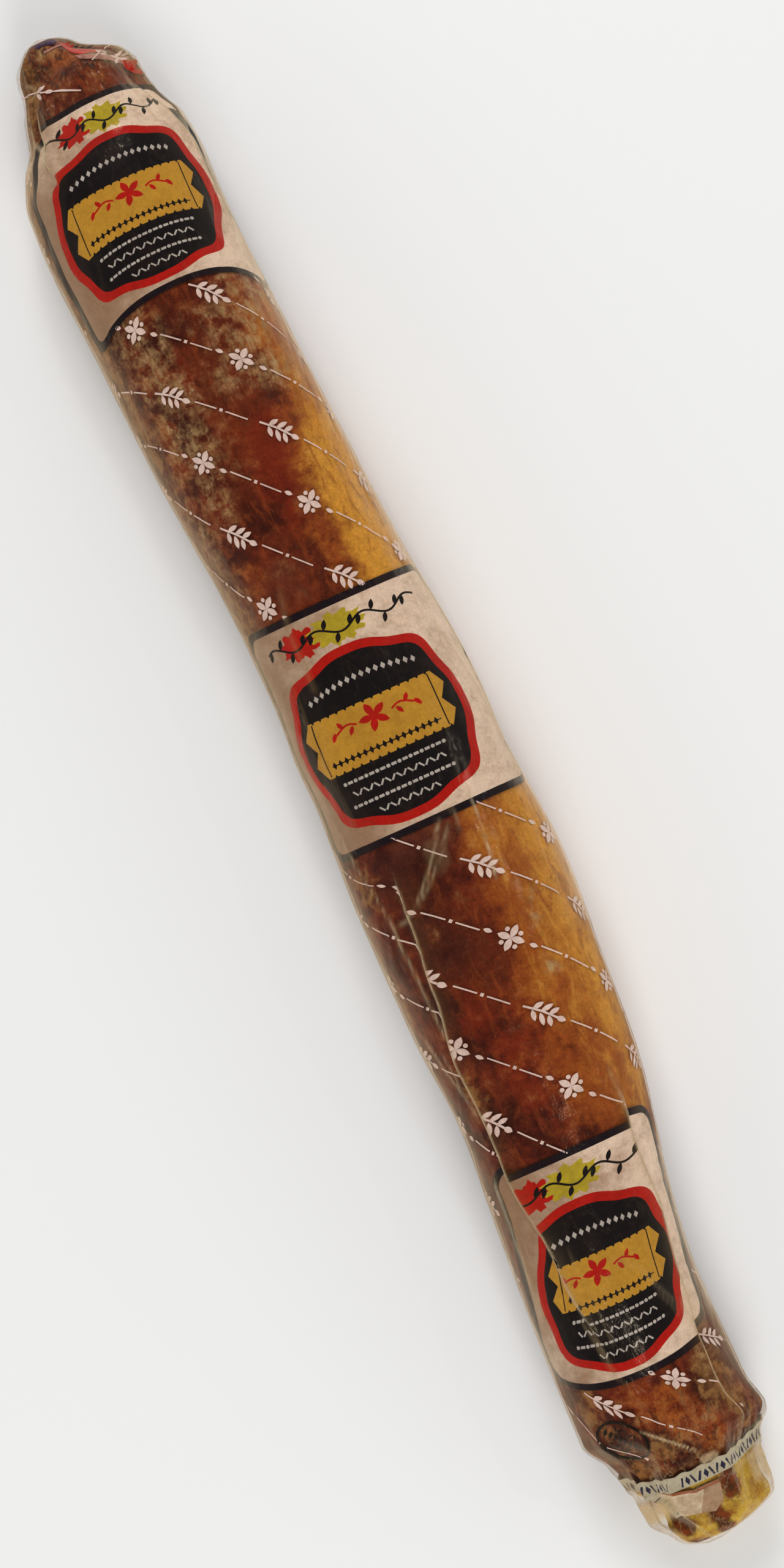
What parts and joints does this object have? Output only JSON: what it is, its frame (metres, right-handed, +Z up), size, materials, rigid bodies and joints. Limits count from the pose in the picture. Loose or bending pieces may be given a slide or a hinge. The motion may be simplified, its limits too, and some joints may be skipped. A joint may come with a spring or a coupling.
{
  "type": "cured pork loin",
  "caption": "Whole cured pork loin, vacuum-packed in a tight clear film with printed label panels and a repeated white print, gathered at both ends.",
  "frame": {"origin": "under the middle of the pack, on the flat spot that it lies on", "axes": "+Z up; the loin lies along Y with its head end at +Y and its tail end at -Y; +X is the side with the amber fat"},
  "size_m": [0.0778, 0.56, 0.0579],
  "materials": {
    "film": "thin clear film, drawn tight, glossy on the creases, over red-brown cured meat",
    "cured_meat": "red-brown cured lean meat with amber fat along one side and pale mould bloom, seen through the film",
    "label_print": "opaque print on the film: cream panels with a dark edge, a dark medallion with a red rim and an ochre field",
    "white_print": "thin slightly see-through white print on the film"
  },
  "bodies": {
    "root": {"wrapped_loin": "film"}
  },
  "joints": []
}
